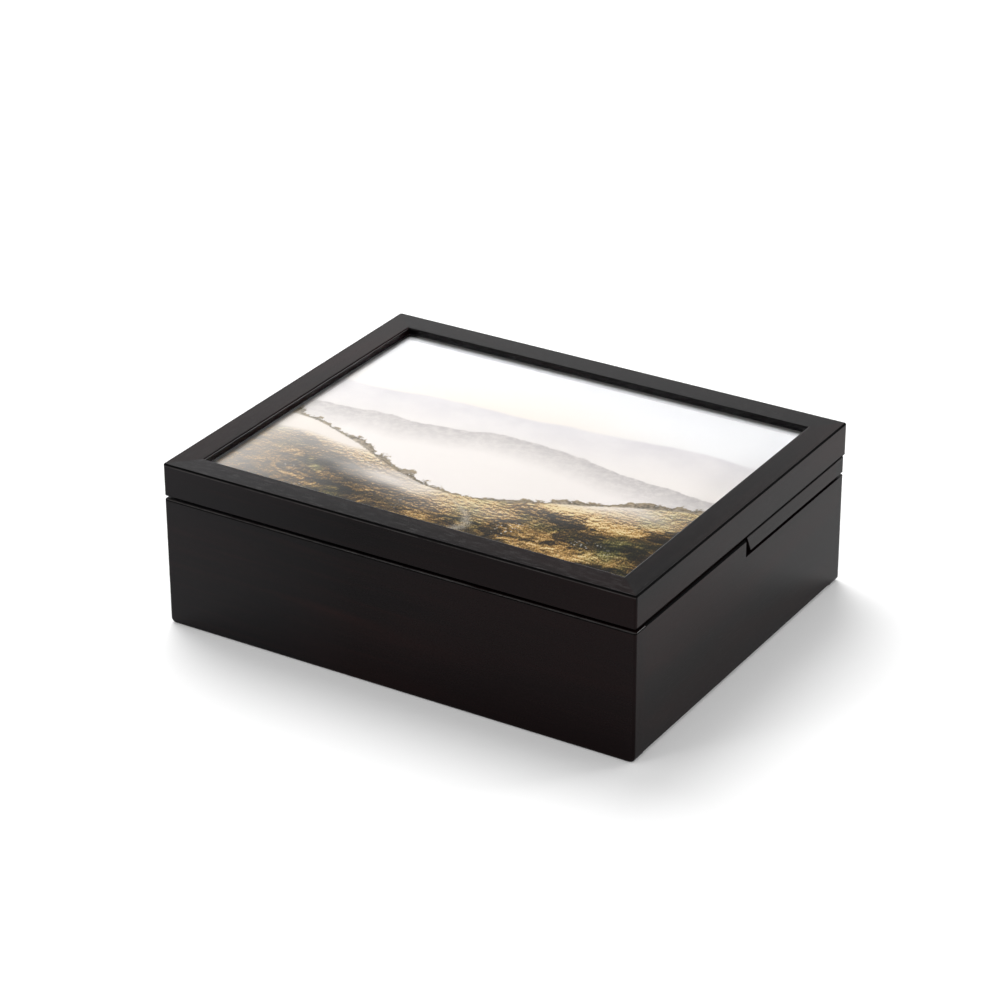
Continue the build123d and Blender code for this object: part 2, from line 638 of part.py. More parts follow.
def make_mainspring():
    """Spiral ribbon of half-round turns inside the barrel."""
    radius = SPRING_CORE_R
    room = BARREL_R - BARREL_WALL - SPRING_CLEAR - SPRING_T - radius
    growth = room / SPRING_HALF_TURNS
    outer_line = []
    inner_line = []
    centre = 0.0
    for k in range(SPRING_HALF_TURNS):
        sign = 1 if k % 2 == 0 else -1
        for line, r in ((outer_line, radius + SPRING_T), (inner_line, radius)):
            line.append(ThreePointArc((centre + sign * r, 0), (centre, sign * r), (centre - sign * r, 0)))
        centre = centre + sign * growth
        radius = radius + growth
    start = Line(inner_line[0] @ 0, outer_line[0] @ 0)
    end = Line(inner_line[-1] @ 1, outer_line[-1] @ 1)
    strip = make_face([start, end] + outer_line + inner_line)
    low = BARREL_Z + BARREL_FLOOR + 2 * SPRING_CLEAR
    high = BARREL_TOP - BARREL_LID - 2 * SPRING_CLEAR
    parts["mainspring"] = Pos(BARREL_X, AXIS_Y, low) * extrude(strip, high - low)


def make_winding():
    """Arbor with its collar and shoulder, and the butterfly key screwed on below."""
    collar_z = BARREL_TOP + ARBOR_GAP
    arbor = rod(BARREL_X, AXIS_Y, KEY_BORE_Z, collar_z + COLLAR_T, ARBOR_R)
    arbor = arbor + rod(BARREL_X, AXIS_Y, collar_z, collar_z + COLLAR_T, COLLAR_R)
    arbor = arbor + rod(BARREL_X, AXIS_Y, BED_TOP + ARBOR_GAP, BARREL_Z - ARBOR_GAP, SHOULDER_R)
    parts["winding_arbor"] = arbor
    hub = rod(BARREL_X, AXIS_Y, KEY_HUB_Z0, KEY_HUB_Z1, KEY_HUB_R)
    lobe = KEY_HEIGHT / 2
    reach = KEY_SPAN / 2 - lobe
    wing = Box(2 * reach, KEY_T, KEY_WAIST)
    for sx in (-1, 1):
        wing = wing + Pos(sx * reach, 0, 0) * Rot(90, 0, 0) * Cylinder(lobe, KEY_T)
    wing = Pos(BARREL_X, AXIS_Y, KEY_Z0 + lobe) * Rot(0, 0, KEY_TURN) * wing
    parts["winding_key"] = hub + wing - rod(BARREL_X, AXIS_Y, KEY_BORE_Z, HEIGHT, ARBOR_R)


def make_bedplate():
    """Cast bedplate with the comb's bed, the cylinder's bearing posts and the wire's guide."""
    bed = block(BED_X0, BED_X1, BED_Y0, BED_Y1, FLOOR_Z, BED_TOP)
    bed = fillet(bed.edges().filter_by(Axis.Z), BED_CORNER_R)
    bed = bed + block(CYLINDER_X0 - 1, CYLINDER_X1 + 1, COMB_BED_Y0, COMB_BED_Y1, BED_TOP - 1, COMB_Z)
    for x0, x1 in POSTS:
        bed = bed + block(x0, x1, AXIS_Y - POST_R, AXIS_Y + POST_R, BED_TOP - 1, AXIS_Z)
        bed = bed + rod_x(x0, x1, AXIS_Y, AXIS_Z, POST_R)
    bed = bed + block(WIRE_X - GUIDE_HALF, WIRE_X + GUIDE_HALF, WIRE_Y - GUIDE_HALF, BED_Y1,
                      BED_TOP - 1, BED_TOP + GUIDE_H)
    bed = bed - rod(WIRE_X, WIRE_Y, BED_TOP, HEIGHT, WIRE_R + SHAFT_FIT)
    bed = bed - rod_x(BED_X0, BED_X1, AXIS_Y, AXIS_Z, SHAFT_R + SHAFT_FIT)
    bed = bed - rod(BARREL_X, AXIS_Y, 0, BED_TOP + 1, ARBOR_R + SHAFT_FIT)
    for x, y in movement_screw_places():
        bed = bed - rod(x, y, FLOOR_Z - 1, BED_TOP + 1, BED_SCREW_R)
    for x in comb_screw_places():
        bed = bed - rod(x, COMB_SCREW_Y, COMB_Z - COMB_SCREW_DEEP, COMB_Z + 1, COMB_SCREW_R)
    parts["movement_bedplate"] = bed


def comb_screw_places():
    """The comb's two screws, along X."""
    return [CYLINDER_X0 + COMB_SCREW_INSET, CYLINDER_X1 - COMB_SCREW_INSET]


def make_comb():
    """Steel comb: a heel and eighteen teeth, with lead weights under the low notes."""
    x0 = CYLINDER_X0 + TRACK_MARGIN
    x1 = x0 + TRACKS * TRACK_PITCH
    comb = block(x0, x1, HEEL_Y0, HEEL_Y1, COMB_Z, COMB_Z + HEEL_T)
    comb = comb + block(x0, x1, HEEL_Y1 - 0.1, COMB_TIP_Y, COMB_Z, COMB_Z + TOOTH_T)
    for k in range(1, TRACKS):
        x = x0 + k * TRACK_PITCH
        root = HEEL_Y1 + 0.1 + TOOTH_ROOT_RISE * k / TRACKS
        comb = comb - block(x - TOOTH_SLIT / 2, x + TOOTH_SLIT / 2, root, COMB_TIP_Y + 1, COMB_Z - 1, COMB_Z + 2)
    for k in range(LEADS):
        x = x0 + (k + 0.5) * TRACK_PITCH
        back = COMB_TIP_Y - 6.0 + 0.4 * k
        front = COMB_TIP_Y - 2.2
        comb = comb + block(x - LEAD_HALF, x + LEAD_HALF, back, front, COMB_Z - 1.6 + 0.15 * k, COMB_Z)
    screws = []
    for x in comb_screw_places():
        comb = comb - rod(x, COMB_SCREW_Y, COMB_Z - 1, COMB_Z + 2, COMB_SCREW_R)
        screws.append(wood_screw(x, COMB_SCREW_Y, COMB_Z + HEEL_T, HEEL_T + COMB_SCREW_DEEP,
                                 COMB_SCREW_R, 2.0, 1.2, -1))
    parts["comb"] = comb
    parts["comb_screws"] = Compound(screws)


def make_cylinder():
    """Hollow cylinder with its rows of pins."""
    drum = rod_x(CYLINDER_X0, CYLINDER_X1, AXIS_Y, AXIS_Z, CYLINDER_R)
    drum = drum - rod_x(CYLINDER_X0 + CYLINDER_END, CYLINDER_X1 - CYLINDER_END, AXIS_Y, AXIS_Z,
                        CYLINDER_R - CYLINDER_WALL)
    drum = drum - rod_x(CYLINDER_X0 - 1, CYLINDER_X1 + 1, AXIS_Y, AXIS_Z, SHAFT_R)
    sunk = 0.2
    pin = Pos(0, 0, CYLINDER_R + (PIN_OUT - sunk) / 2) * Box(PIN_WIDE, PIN_WIDE, PIN_OUT + sunk)
    pins = []
    for track in range(TRACKS):
        x = CYLINDER_X0 + TRACK_MARGIN + (track + 0.5) * TRACK_PITCH
        for k in range(PINS_PER_TRACK):
            angle = track * GOLDEN_ANGLE + k * 360 / PINS_PER_TRACK + 11 * ((track * k) % 3)
            pins.append(Pos(x, AXIS_Y, AXIS_Z) * Rot(angle, 0, 0) * pin)
    parts["cylinder"] = drum + pins


def make_cylinder_arbor():
    """The cylinder's shaft with the crown pinion and the train wheel."""
    shaft = rod_x(SHAFT_X0, SHAFT_X1, AXIS_Y, AXIS_Z, SHAFT_R)
    pinion_x = BARREL_X + CROWN_R
    pinion = spur_gear_x(pinion_x - CROWN_FACE / 2, pinion_x + CROWN_FACE / 2, AXIS_Y, AXIS_Z,
                         PINION_TEETH, CROWN_MODULE, CROWN_SLACK, 180 / PINION_TEETH)
    wheel = spur_gear_x(WHEEL_X0, WHEEL_X1, AXIS_Y, AXIS_Z, WHEEL_TEETH, TRAIN_MODULE, TRAIN_SLACK)
    parts["cylinder_arbor"] = shaft + pinion + wheel


def make_governor_frame():
    """Foot, back, top arm and side cheek that carry the governor's two staffs."""
    frame = block(FRAME_X0, FRAME_X1, WORM_Y - 2.4, FRAME_Y1, BED_TOP, BED_TOP + FRAME_FOOT)
    frame = frame + block(FRAME_X0, FRAME_X1, FRAME_BACK_Y, FRAME_Y1, BED_TOP, ARM_TOP)
    frame = frame + block(FRAME_X0, FRAME_X1, WORM_Y - 1.5, FRAME_Y1, ARM_TOP - ARM_T, ARM_TOP)
    frame = frame - rod(WORM_X, WORM_Y, BED_TOP + 1, HEIGHT, STAFF_R + SHAFT_FIT)
    cheek = block(CHEEK_X0, FRAME_X1, GOVERNOR_Y - CHEEK_HALF, WORM_Y - 2.2, BED_TOP, GOVERNOR_Z + CHEEK_HALF)
    cheek = cheek - rod_x(WORM_X, WORM_X + 5, GOVERNOR_Y, GOVERNOR_Z, STAFF_R + SHAFT_FIT)
    parts["governor_frame"] = frame + cheek


def make_governor_wheel():
    """The governor's first staff, with its pinion and the wheel that drives the worm."""
    staff = rod_x(GOVERNOR_PINION_X0 - 0.2, FRAME_X1 - 0.2, GOVERNOR_Y, GOVERNOR_Z, STAFF_R)
    pinion = spur_gear_x(GOVERNOR_PINION_X0, GOVERNOR_PINION_X1, GOVERNOR_Y, GOVERNOR_Z,
                         GOVERNOR_TEETH, TRAIN_MODULE, TRAIN_SLACK)
    wheel = spur_gear_x(WORM_X - WORM_WHEEL_FACE / 2, WORM_X + WORM_WHEEL_FACE / 2, GOVERNOR_Y, GOVERNOR_Z,
                        WORM_WHEEL_TEETH, TRAIN_MODULE, WORM_WHEEL_SLACK)
    parts["governor_wheel"] = staff + pinion + wheel


def make_worm():
    """Worm staff with one right-handed thread, a gap of it facing the wheel's tooth at rest."""
    path = Helix(pitch=WORM_LEAD, height=WORM_TURNS * WORM_LEAD, radius=WORM_R)
    plane = Plane(origin=path @ 0, x_dir=(1, 0, 0), z_dir=path % 0)
    depth = WORM_TIP_R - WORM_R
    flank = [(-THREAD_ROOT, -THREAD_FOOT), (depth, -THREAD_TIP), (depth, THREAD_TIP), (-THREAD_ROOT, THREAD_FOOT)]
    thread = sweep(make_face(plane * Polyline(*flank, close=True)), path=path, is_frenet=True)
    worm = rod(WORM_X, WORM_Y, BED_TOP + 1.6, FLY_Z0 + FLY_HUB_DEEP, STAFF_R)
    worm = worm + rod(WORM_X, WORM_Y, GOVERNOR_Z - WORM_HALF, GOVERNOR_Z + WORM_HALF, WORM_R)
    parts["governor_worm"] = worm + Pos(WORM_X, WORM_Y, GOVERNOR_Z - 1.25 * WORM_LEAD) * thread


def make_fly():
    """Air brake: a hub with two wings on top of the worm."""
    middle = (FLY_Z0 + FLY_Z1) / 2
    fly = rod(WORM_X, WORM_Y, FLY_Z0, FLY_Z1, FLY_HUB_R)
    fly = fly + Pos(WORM_X, WORM_Y, middle) * Rot(0, 0, 45) * Box(2 * FLY_R, FLY_T, FLY_Z1 - FLY_Z0)
    parts["governor_fly"] = fly - rod(WORM_X, WORM_Y, FLY_Z0 - 1, FLY_Z0 + FLY_HUB_DEEP, STAFF_R)


def make_start_wire():
    """Upright wire with a finger beside the fly; the lid presses it down."""
    tip_z = POCKET_BOTTOM - WIRE_LID_GAP - WIRE_TIP_R
    wire = rod(WIRE_X, WIRE_Y, BED_TOP + 1, tip_z, WIRE_R)
    tip = Pos(WIRE_X, WIRE_Y, tip_z) * Sphere(WIRE_TIP_R)
    finger = rod_x(WIRE_X, WIRE_X + FINGER_LEN, WIRE_Y, FINGER_Z, FINGER_R)
    parts["start_wire"] = wire + tip + finger


def main():
    """Build every node and write its STEP file."""
    make_lid_frame()
    make_lid_filling()
    make_turn_buttons()
    make_strips()
    make_hinges()
    make_base_walls()
    make_bottom()
    make_linings()
    make_dividers()
    make_bay_cover()
    make_ring_rolls()
    make_barrel()
    make_mainspring()
    make_winding()
    make_bedplate()
    make_comb()
    make_cylinder()
    make_cylinder_arbor()
    make_governor_frame()
    make_governor_wheel()
    make_worm()
    make_fly()
    make_start_wire()
    os.makedirs("parts", exist_ok=True)
    for name, shape in parts.items():
        export_step(shape, "parts/" + name + ".step")
    print(len(parts), "nodes")


main()
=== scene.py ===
import math
import bpy
from mathutils import Matrix, Vector


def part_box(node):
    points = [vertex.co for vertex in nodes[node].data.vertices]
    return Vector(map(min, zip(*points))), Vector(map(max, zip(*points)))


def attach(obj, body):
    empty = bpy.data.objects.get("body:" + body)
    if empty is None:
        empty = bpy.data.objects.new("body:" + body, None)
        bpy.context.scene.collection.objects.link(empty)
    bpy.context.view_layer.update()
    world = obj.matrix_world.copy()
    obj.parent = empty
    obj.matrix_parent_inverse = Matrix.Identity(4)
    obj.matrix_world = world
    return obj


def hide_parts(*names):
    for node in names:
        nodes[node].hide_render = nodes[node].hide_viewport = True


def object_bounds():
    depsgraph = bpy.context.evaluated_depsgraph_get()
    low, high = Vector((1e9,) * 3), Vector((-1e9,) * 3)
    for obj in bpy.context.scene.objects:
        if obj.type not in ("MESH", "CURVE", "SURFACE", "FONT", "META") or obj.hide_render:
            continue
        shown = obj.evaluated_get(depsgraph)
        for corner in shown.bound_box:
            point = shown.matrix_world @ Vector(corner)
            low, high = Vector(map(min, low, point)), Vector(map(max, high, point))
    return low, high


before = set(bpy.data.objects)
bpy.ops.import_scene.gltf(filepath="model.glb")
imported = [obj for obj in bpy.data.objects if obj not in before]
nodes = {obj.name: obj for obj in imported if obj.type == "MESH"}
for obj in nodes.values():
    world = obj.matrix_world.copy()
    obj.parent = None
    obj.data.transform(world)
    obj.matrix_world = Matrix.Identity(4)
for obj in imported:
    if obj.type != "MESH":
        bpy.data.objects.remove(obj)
cad_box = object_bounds()


# Shader arithmetic and finishes

class Value:
    """A number in a material's node tree; arithmetic on it adds Math nodes."""

    def __init__(self, finish, socket):
        self.finish = finish
        self.socket = socket

    def math(self, operation, *others, clamp=False):
        node = self.finish.add("Math", operation=operation, use_clamp=clamp)
        for place, value in enumerate((self, *others)):
            self.finish.join(node.inputs[place], value)
        return Value(self.finish, node.outputs[0])

    def flipped(self, operation, other):
        """The operation with the other value first."""
        node = self.finish.add("Math", operation=operation)
        self.finish.join(node.inputs[0], other)
        self.finish.join(node.inputs[1], self)
        return Value(self.finish, node.outputs[0])

    def __add__(self, other):
        return self.math("ADD", other)

    def __radd__(self, other):
        return self.math("ADD", other)

    def __sub__(self, other):
        return self.math("SUBTRACT", other)

    def __rsub__(self, other):
        return self.flipped("SUBTRACT", other)

    def __mul__(self, other):
        return self.math("MULTIPLY", other)

    def __rmul__(self, other):
        return self.math("MULTIPLY", other)

    def __truediv__(self, other):
        return self.math("DIVIDE", other)

    def __rtruediv__(self, other):
        return self.flipped("DIVIDE", other)

    def __abs__(self):
        return self.math("ABSOLUTE")

    def clamped(self):
        return self.math("ADD", 0.0, clamp=True)

    def step(self, low, high):
        """0 below low, 1 above high, with a soft turn between them."""
        node = self.finish.add("MapRange", interpolation_type="SMOOTHSTEP",
                               inputs={"Value": self, "From Min": low, "From Max": high})
        return Value(self.finish, node.outputs[0])


class Nodes:
    """A node tree, of a finish or of the room."""

    def __init__(self, tree):
        self.tree = tree

    def add(self, kind, inputs=None, stops=None, **settings):
        """A node of one kind, with its settings first and then what goes into its sockets."""
        node = self.tree.nodes.new("ShaderNode" + kind)
        for name, value in settings.items():
            setattr(node, name, value)
        if stops:
            ramp = node.color_ramp
            while len(ramp.elements) < len(stops):
                ramp.elements.new(0.5)
            for element, (position, colour) in zip(ramp.elements, stops):
                element.position = position
                element.color = (*colour, 1.0)
        for name, value in (inputs or {}).items():
            self.join(node.inputs[name], value)
        return node

    def join(self, socket, value):
        if isinstance(value, Value):
            value = value.socket
        if isinstance(value, bpy.types.NodeSocket):
            self.tree.links.new(value, socket)
        elif hasattr(value, "__len__") and len(value) == 3 and len(socket.default_value) == 4:
            socket.default_value = (*value, 1.0)
        else:
            socket.default_value = value

    def rays(self, *kinds):
        """1 for rays of the named kinds, 0 for others."""
        node = self.add("LightPath")
        flags = [Value(self, node.outputs["Is %s Ray" % kind]) for kind in kinds]
        return sum(flags[1:], flags[0]).clamped()


class Finish(Nodes):
    """A procedural material on one Principled shader."""

    def __init__(self, name, **constants):
        self.material = bpy.data.materials.new(name)
        self.material.use_nodes = True
        super().__init__(self.material.node_tree)
        self.shader = self.tree.nodes["Principled BSDF"]
        self.place = self.add("TexCoord").outputs["Object"]
        for name, value in constants.items():
            self.set(name.replace("_", " ").title().replace("Ior", "IOR"), value)

    def set(self, name, value):
        self.join(self.shader.inputs[name], value)

    def axes(self, vector=None):
        """The three coordinates of a place on the piece, in metres."""
        node = self.add("SeparateXYZ", inputs={"Vector": vector or self.place})
        return [Value(self, out) for out in node.outputs]

    def vector(self, x, y, z=0.0):
        return self.add("CombineXYZ", inputs={"X": x, "Y": y, "Z": z}).outputs[0]

    def stretched(self, scale, turn=(0, 0, 0), shift=(0, 0, 0)):
        """The piece's own place, turned and then scaled along each axis."""
        turned = self.add("Mapping", inputs={"Vector": self.place, "Rotation": turn, "Location": shift})
        sized = self.add("VectorMath", operation="MULTIPLY", inputs={0: turned.outputs[0], 1: scale})
        return sized.outputs[0]

    def noise(self, vector, scale, detail=2.0, roughness=0.5, distortion=0.0):
        node = self.add("TexNoise", inputs={"Vector": vector, "Scale": scale, "Detail": detail,
                                            "Roughness": roughness, "Distortion": distortion})
        return Value(self, node.outputs[0])

    def mix(self, amount, low, high):
        """A colour between two, or between two linked colours."""
        node = self.add("Mix", data_type="RGBA", clamp_factor=True)
        self.join(node.inputs[0], amount)
        self.join(node.inputs[6], low)
        self.join(node.inputs[7], high)
        return node.outputs[2]

    def bump(self, height, distance, strength=1.0):
        node = self.add("Bump", inputs={"Height": height, "Distance": distance, "Strength": strength})
        self.set("Normal", node.outputs[0])


QUARTER = math.pi / 2
ALONG_X = (0, 0, 0)
ALONG_Y = (0, 0, QUARTER)
OUTER_BAND = (0.0006, 0.0009)
# Half the width of the painted highlight line along the front edges
PAINTED_HIGHLIGHT_HALF = 0.0003
FRONT_FROM, FRONT_TO = 0.05, 0.07


def espresso_wood(name, grain, shift, shaded, painted_highlight=None):
    """Near-black stained hardwood under a thin satin lacquer.

    Painted shade runs as dark matt lines along its outer edges at the shaded heights, each given with half
    its width, and a painted highlight runs along the front edge at one height. The front boards carry a
    painted reflection that makes the left end greyer and painted shade that makes the right end deeper.
    """
    wood = Finish(name, specular_ior_level=0.07)
    figure = wood.noise(wood.stretched((5.0, 26.0, 26.0), grain, shift), 1.0, 3.0, 0.55, 0.6)
    streaks = wood.noise(wood.stretched((14.0, 420.0, 420.0), grain, shift), 1.0, 4.0, 0.6)
    pores = wood.noise(wood.stretched((130.0, 2600.0, 2600.0), grain, shift), 1.0, 2.0, 0.5)
    warm = (figure.step(0.42, 0.72) * 0.75 + streaks.step(0.45, 0.75) * 0.35).clamped()
    stain = wood.mix(warm, (0.0030, 0.0024, 0.0028), (0.0120, 0.0042, 0.0040))
    stain = wood.mix(pores.step(0.60, 0.72) * 0.5, stain, (0.0020, 0.0014, 0.0014))
    x, y, z = wood.axes()
    outer = Vector(cad_box[1])
    # Painted reflection and painted shade on the front boards: greyer towards the left end, deeper towards
    # the right end
    if grain == ALONG_X:
        front = (0.0 - y).step(FRONT_FROM, FRONT_TO)
        along = 0.5 + x / (2 * outer.x)
        stain = wood.mix(((along - 0.35) / 0.35).clamped() * 0.7 * front, stain, (0.0038, 0.0008, 0.0010))
        stain = wood.mix((1 - along / 0.42).clamped() * 0.22 * front, stain, (0.050, 0.047, 0.050))
    # Painted highlight: a lighter line along the front edge rounding at one height, broken up by noise
    if painted_highlight:
        line = 1 - (abs(z - painted_highlight) / PAINTED_HIGHLIGHT_HALF).step(0.3, 1.0)
        line = line * (1 - (outer.y - abs(y)).step(*OUTER_BAND))
        uneven = wood.noise(wood.place, 90.0, 3.0, 0.6).step(0.25, 0.60)
        stain = wood.mix(line * uneven, stain, (0.040, 0.037, 0.036))
    # Painted shade: dark matt lines at the shaded heights, only near the outer faces
    side = (outer.x - abs(x)).math("MINIMUM", outer.y - abs(y))
    painted_shade = sum(1 - (abs(z - height) / half).step(0.6, 1.0) for height, half in shaded)
    painted_shade = (painted_shade * (1 - side.step(*OUTER_BAND))).clamped()
    wood.set("Base Color", wood.mix(painted_shade, stain, (0.0006, 0.0005, 0.0005)))
    wood.set("Roughness", 0.13 + 0.06 * streaks + 0.05 * (1 - figure) + 0.75 * painted_shade)
    wood.bump(streaks * 0.35 - pores.step(0.58, 0.74), 0.00004, 0.3)
    return wood.material


def picture_glass():
    """Clear picture glass; lamps pass through it to the print."""
    glass = Finish("picture_glass", transmission_weight=1.0, ior=1.45, specular_ior_level=0.3)
    glass.set("Base Color", (0.995, 1.0, 0.998))
    smear = glass.noise(glass.place, 26.0, 3.0, 0.5)
    glass.set("Roughness", smear.step(0.5, 0.8) * 0.012)
    passing(glass)
    return glass.material


def passing(glass):
    """Lets lamps shine through a clear sheet."""
    clear = glass.add("BsdfTransparent")
    through = glass.add("MixShader", inputs={0: glass.rays("Shadow")})
    glass.join(through.inputs[1], glass.shader.outputs[0])
    glass.join(through.inputs[2], clear.outputs[0])
    glass.join(glass.tree.nodes["Material Output"].inputs["Surface"], through.outputs[0])


PICTURE_WIDE, PICTURE_HIGH = 0.209, 0.1633
SHOWN_HALF_WIDE, SHOWN_HALF_HIGH = 0.1038, 0.0808
PAPER_WHITE = (0.90, 0.90, 0.89)
HILL_HAZE = (0.985, 0.955, 0.935)


class MeadowPrint(Finish):
    """Printed paper whose pattern runs from 0 to 1 across and up the picture."""

    def __init__(self, name):
        super().__init__(name, roughness=0.35, specular_ior_level=0.3)
        self.x, self.y, _ = self.axes()
        self.across = self.x / PICTURE_WIDE + 0.5
        self.up = self.y / PICTURE_HIGH + 0.5
        self.flat = self.vector(self.across * 1.28, self.up)

    def outline(self, scale, seed, detail=3.0, roughness=0.5):
        """A random skyline along the picture's width, from about -0.5 to 0.5."""
        return self.noise(self.vector(self.across * scale + seed, seed), 1.0, detail, roughness) - 0.5

    def bushes(self, per_width, seed, tall):
        """Round bush tops of chance heights along the picture's width."""
        cell = self.add("TexVoronoi", voronoi_dimensions="1D",
                        inputs={"W": self.across * per_width + seed, "Scale": 1.0})
        luck = Value(self, self.add("SeparateColor", inputs={0: cell.outputs["Color"]}).outputs[0])
        away = Value(self, cell.outputs["Distance"])
        return (1 - (away * 2.0) * (away * 2.0)).clamped() * luck * tall

    def hill(self, behind, skyline, soft, colour, mist, fade):
        """A hill in front of what is behind it, sinking into mist below its skyline."""
        depth = skyline - self.up
        body = self.mix((depth / fade).clamped(), colour, mist)
        return self.mix(depth.step(0.0 - soft, soft), behind, body)


def hazy_sky(paper):
    """Pale sky with thin clouds and a warm glow."""
    clouds = paper.noise(paper.flat, 2.0, 4.0, 0.55)
    beside, above = paper.across - 0.40, paper.up - 0.60
    glow = (1 - (beside * beside * 3.5 + above * above * 9.0)).clamped()
    sky = paper.mix(paper.up.step(0.45, 0.95), (0.96, 0.93, 0.92), (0.985, 0.985, 1.0))
    sky = paper.mix(glow * 0.8, sky, (1.0, 0.95, 0.89))
    return paper.mix(clouds.step(0.40, 0.70) * 0.5, sky, (1.0, 1.0, 1.0))


def hazy_ridges(paper, sky):
    """A far bare ridge and a nearer wooded one."""
    far_mottle = paper.noise(paper.flat, 9.0, 5.0, 0.65).step(0.35, 0.7)
    far_tone = paper.mix(far_mottle, (0.855, 0.835, 0.85), (0.925, 0.905, 0.91))
    far_line = 0.655 + 0.16 * paper.outline(2.2, 4.2) + 0.10 * paper.across
    far = paper.hill(sky, far_line, 0.008, far_tone, HILL_HAZE, 0.20)
    wood_mottle = paper.noise(paper.flat, 42.0, 4.0, 0.7).step(0.35, 0.7)
    wood_tone = paper.mix(wood_mottle, (0.70, 0.67, 0.665), (0.86, 0.83, 0.81))
    wood_line = (0.505 + 0.20 * paper.outline(2.4, 17.3) + 0.05 * paper.across
                 + 0.020 * paper.outline(34.0, 3.3, 4.0, 0.7) + 0.03 * paper.outline(9.0, 6.3))
    return paper.hill(far, wood_line, 0.004, wood_tone, HILL_HAZE, 0.13)


def meadow_crest(paper):
    """The height of the meadow's upper edge: a slope at the left, a hollow and a rise at the right."""
    across = paper.across
    slope = 0.23 * across.step(0.46, 1.05) - 0.20 * across.step(0.02, 0.52)
    return 0.40 + 0.07 * paper.outline(2.3, 27.5) + slope + 0.012 * paper.outline(14.0, 7.7)


def brush(paper, behind, crest, leaves):
    """Bushes and low brush along the meadow's edge."""
    branches = paper.noise(paper.flat, 24.0, 3.0, 0.6)
    hollow = (abs(paper.across - 0.52) * 4.0).clamped()
    tops = (crest + 0.012 + hollow * (paper.bushes(8.0, 3.7, 0.030) + paper.bushes(23.0, 9.2, 0.016))
            + 0.075 * (branches - 0.5) + 0.050 * (leaves - 0.5))
    clumps = (0.6 * leaves + 0.4 * branches).step(0.36, 0.62)
    tone = paper.mix(clumps, (0.095, 0.080, 0.050), (0.52, 0.41, 0.24))
    return paper.hill(behind, tops, 0.004, tone, (0.93, 0.86, 0.79), 0.075)


def grass_clumps(paper, near, side, rise):
    """Clumps of grass, larger towards the front of the picture."""
    front = paper.vector((paper.across + side) * 34.0 + paper.up * 5.0, (paper.up + rise) * 30.0)
    rear = paper.vector((paper.across + side) * 74.0, (paper.up + rise) * 88.0)
    return (paper.noise(rear, 1.0, 5.0, 0.68, 0.3) * (1 - near.step(0.04, 0.26))
            + paper.noise(front, 1.0, 8.0, 0.68, 0.4) * near.step(0.04, 0.26))


def grass_light(paper, near, leaves, blades):
    """How brightly the meadow is lit: side light on its clumps, and dark shrubs."""
    across, up = paper.across, paper.up
    relief = grass_clumps(paper, near, 0.0, 0.0) - grass_clumps(paper, near, -0.0025, 0.0055)
    patches = paper.noise(paper.vector(across * 4.2, up * 7.0, 3.1), 1.0, 4.0, 0.62, 0.6)
    shrubs = (paper.noise(paper.vector(across * 10.0, up * 15.0, 6.3), 1.0, 3.0, 0.6)
              + 0.16 * (leaves - 0.5) + 0.05 * (across - 0.5) + 0.10 * near)
    shrubs = 0.34 * shrubs.step(0.55, 0.60) * near.step(0.02, 0.08)
    return (0.48 - shrubs + relief * 2.6 + (blades - 0.5) * 1.2 + (patches - 0.5) * 2.0
            + 0.22 * (1 - near.step(0.0, 0.10)) - 0.16 * near.step(0.12, 0.45))


def trodden_path(paper, near, blades, turf):
    """A winding gravel path that narrows towards the crest."""
    bend = 0.50 + 0.055 * (paper.up * 17.0).math("SINE") + 0.30 * (0.22 - paper.up)
    half = 0.004 + 0.060 * near + 0.05 * (blades - 0.5) * near.step(0.0, 0.2)
    trodden = (half - abs(paper.across - bend)).step(-0.008, 0.014)
    gravel = paper.mix(blades.step(0.35, 0.65), (0.50, 0.42, 0.32), (0.86, 0.80, 0.70))
    return paper.mix(trodden * 0.6, turf, gravel)


def white_buds(paper, turf):
    """Patches of small white flowers."""
    buds = paper.add("TexVoronoi", inputs={"Vector": paper.vector(paper.across * 120.0, paper.up * 95.0),
                                           "Scale": 1.0})
    buds = (0.30 - Value(paper, buds.outputs["Distance"])).step(0.0, 0.14)
    buds = buds * paper.noise(paper.flat, 6.0, 2.0, 0.5).step(0.56, 0.64)
    return paper.mix(buds * 0.8, turf, (0.92, 0.91, 0.86))


def meadow_mist(paper, near, turf):
    """Mist that drifts over the crest and the meadow's left side."""
    drift = paper.noise(paper.vector(paper.across * 2.6, paper.up * 6.5, 1.7), 1.0, 3.0, 0.5)
    mist = ((1 - near.step(-0.02, 0.16)) * (0.25 + 0.85 * drift.step(0.35, 0.65)) * 0.85
            + drift.step(0.56, 0.74) * 0.30 + (1 - paper.across.step(-0.10, 0.34)) * 0.72)
    return paper.mix(mist.clamped(), turf, (0.97, 0.93, 0.89))


